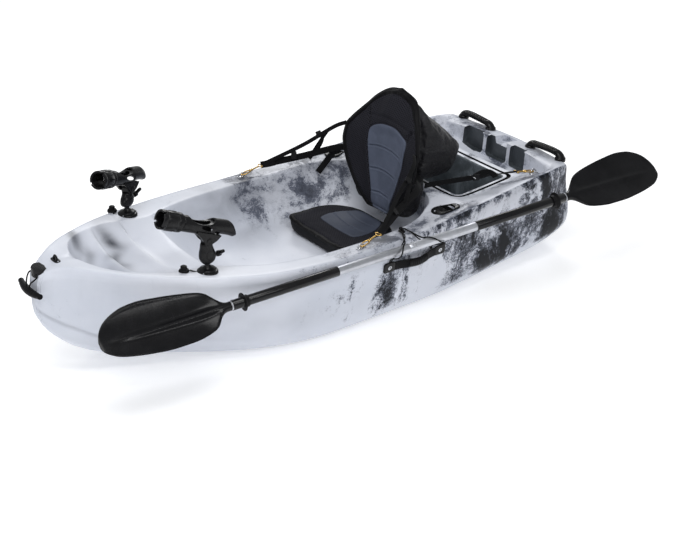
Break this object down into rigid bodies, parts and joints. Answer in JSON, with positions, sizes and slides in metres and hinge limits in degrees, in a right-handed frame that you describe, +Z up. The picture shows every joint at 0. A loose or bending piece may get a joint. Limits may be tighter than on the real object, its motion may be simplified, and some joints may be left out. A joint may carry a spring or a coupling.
{
  "type": "sit-on-top fishing kayak",
  "caption": "Sit-on-top fishing kayak with marbled hull, strapped padded seat, paddle held on the gunwale, ball-mounted and flush rod holders and carry handles.",
  "frame": {"origin": "on the floor under the keel, on the centre plane, amidships", "axes": "+X to the bow, +Y to port, +Z up"},
  "size_m": [2.2563, 0.994, 0.676],
  "materials": {
    "hull_plastic": "satin, pale with charcoal marbling",
    "black_plastic": "satin",
    "stainless": "bright",
    "bright_aluminium": "satin",
    "black_sleeve": "gloss",
    "brass": "bright",
    "black_rubber": "matte",
    "webbing": "woven",
    "cord": "braided",
    "seat_fabric": "mesh and stitched slate panels",
    "bag_nylon": "coated nylon"
  },
  "bodies": {
    "hull": {"hull": "hull_plastic", "flush_rod_holder_port": "black_plastic", "stern_handle_port": "black_plastic", "side_handle_plate_fore_port": "black_plastic", "side_handle_plate_aft_port": "black_plastic", "side_handle_port": "webbing", "flush_rod_holder_stbd": "black_plastic", "stern_handle_stbd": "black_plastic", "side_handle_plate_fore_stbd": "black_plastic", "side_handle_plate_aft_stbd": "black_plastic", "side_handle_stbd": "webbing", "seat_eyelet_fore_port": "stainless", "seat_eyelet_aft_port": "stainless", "seat_eyelet_fore_stbd": "stainless", "seat_eyelet_aft_stbd": "stainless", "bow_deck_eye": "black_plastic", "bungee_eye": "black_plastic", "bow_toggle_eye": "black_plastic", "paddle_bungee": "cord", "rod_base_port": "black_plastic", "rod_base_cap_port": "black_rubber", "rod_cap_tether_port": "black_rubber", "rod_base_stbd": "black_plastic", "rod_base_cap_stbd": "black_rubber", "rod_cap_tether_stbd": "black_rubber", "seat_base": "seat_fabric", "snap_hook_fore_port": "brass", "seat_strap_fore_port": "webbing", "snap_hook_aft_port": "brass", "seat_strap_aft_port": "webbing", "snap_hook_fore_stbd": "brass", "seat_strap_fore_stbd": "webbing", "snap_hook_aft_stbd": "brass", "seat_strap_aft_stbd": "webbing"},
    "seat_back": {"seat_back": "seat_fabric", "seat_pocket": "bag_nylon", "seat_bag": "bag_nylon"},
    "bow_toggle": {"bow_toggle_cord": "cord", "bow_toggle_grip": "black_rubber"},
    "drain_plug": {"drain_plug": "black_plastic"},
    "paddle": {"paddle_shaft_bow": "bright_aluminium", "paddle_shaft_stern": "bright_aluminium", "paddle_sleeve_bow": "black_sleeve", "paddle_sleeve_stern": "black_sleeve", "paddle_blade_bow": "black_plastic", "paddle_blade_stern": "black_plastic"},
    "paddle_button": {"paddle_button": "stainless"},
    "paddle_drip_ring_bow": {"paddle_drip_ring_bow": "black_rubber"},
    "paddle_drip_ring_stern": {"paddle_drip_ring_stern": "black_rubber"},
    "rod_arm_port": {"rod_arm_port": "black_plastic"},
    "rod_knob_port": {"rod_knob_port": "black_plastic"},
    "rod_cradle_port": {"rod_cradle_port": "black_plastic"},
    "rod_collar_port": {"rod_collar_port": "black_plastic"},
    "rod_arm_stbd": {"rod_arm_stbd": "black_plastic"},
    "rod_knob_stbd": {"rod_knob_stbd": "black_plastic"},
    "rod_cradle_stbd": {"rod_cradle_stbd": "black_plastic"},
    "rod_collar_stbd": {"rod_collar_stbd": "black_plastic"}
  },
  "joints": [
    {"name": "seat_recline", "type": "hinge", "parent": "hull", "child": "seat_back", "pos_m": [-0.338, 0, 0.212], "axis": [0, 1, 0], "range_deg": [-6, 55], "deforming": ["seat_strap_fore_port", "seat_strap_aft_port", "seat_strap_fore_stbd", "seat_strap_aft_stbd"]},
    {"name": "bow_toggle_swing", "type": "hinge", "parent": "hull", "child": "bow_toggle", "pos_m": [1.003, 0, 0.373], "axis": [0, 1, 0], "range_deg": [-110, 0]},
    {"name": "drain_plug_turn", "type": "hinge", "parent": "hull", "child": "drain_plug", "pos_m": [-1, 0, 0.096], "axis": [-1, 0, 0], "continuous": true},
    {"name": "paddle_slide", "type": "slide", "parent": "hull", "child": "paddle", "axis": [0.9958, -0.0801, -0.0436], "range_m": [-0.06, 0.06]},
    {"name": "paddle_button_press", "type": "slide", "parent": "paddle", "child": "paddle_button", "axis": [0.0849, 0.638, 0.7653], "range_m": [-0.0034, 0], "stiffness_N_per_m": 500, "springref_m": 0.002},
    {"name": "drip_ring_slide_bow", "type": "slide", "parent": "paddle", "child": "paddle_drip_ring_bow", "axis": [0.9958, -0.0801, -0.0436], "range_m": [-0.05, 0.03]},
    {"name": "drip_ring_slide_stern", "type": "slide", "parent": "paddle", "child": "paddle_drip_ring_stern", "axis": [0.9958, -0.0801, -0.0436], "range_m": [-0.03, 0.2]},
    {"name": "rod_swivel_port", "type": "hinge", "parent": "hull", "child": "rod_arm_port", "pos_m": [0.543, 0.262, 0.38119], "axis": [0, 0, 1], "continuous": true},
    {"name": "rod_knob_turn_port", "type": "hinge", "parent": "rod_arm_port", "child": "rod_knob_port", "pos_m": [0.543, 0.262, 0.40219], "axis": [-0.9996, 0.0297, 0], "continuous": true},
    {"name": "rod_tilt_port", "type": "hinge", "parent": "rod_arm_port", "child": "rod_cradle_port", "pos_m": [0.543, 0.262, 0.463], "axis": [-0.0297, -0.9996, 0], "range_deg": [-40, 18]},
    {"name": "rod_collar_turn_port", "type": "hinge", "parent": "rod_cradle_port", "child": "rod_collar_port", "pos_m": [0.52798, 0.26245, 0.4979], "axis": [0.918, -0.0272, 0.3955], "range_deg": [-45, 45]},
    {"name": "rod_swivel_stbd", "type": "hinge", "parent": "hull", "child": "rod_arm_stbd", "pos_m": [0.543, -0.262, 0.38119], "axis": [0, 0, 1], "continuous": true},
    {"name": "rod_knob_turn_stbd", "type": "hinge", "parent": "rod_arm_stbd", "child": "rod_knob_stbd", "pos_m": [0.543, -0.262, 0.40219], "axis": [-0.8721, -0.4894, 0], "continuous": true},
    {"name": "rod_tilt_stbd", "type": "hinge", "parent": "rod_arm_stbd", "child": "rod_cradle_stbd", "pos_m": [0.53428, -0.26689, 0.443], "axis": [0.4894, -0.8721, 0], "range_deg": [-32, 8]},
    {"name": "rod_collar_turn_stbd", "type": "hinge", "parent": "rod_cradle_stbd", "child": "rod_collar_stbd", "pos_m": [0.52426, -0.27252, 0.47922], "axis": [0.8312, 0.4665, 0.3024], "range_deg": [-45, 45]}
  ]
}
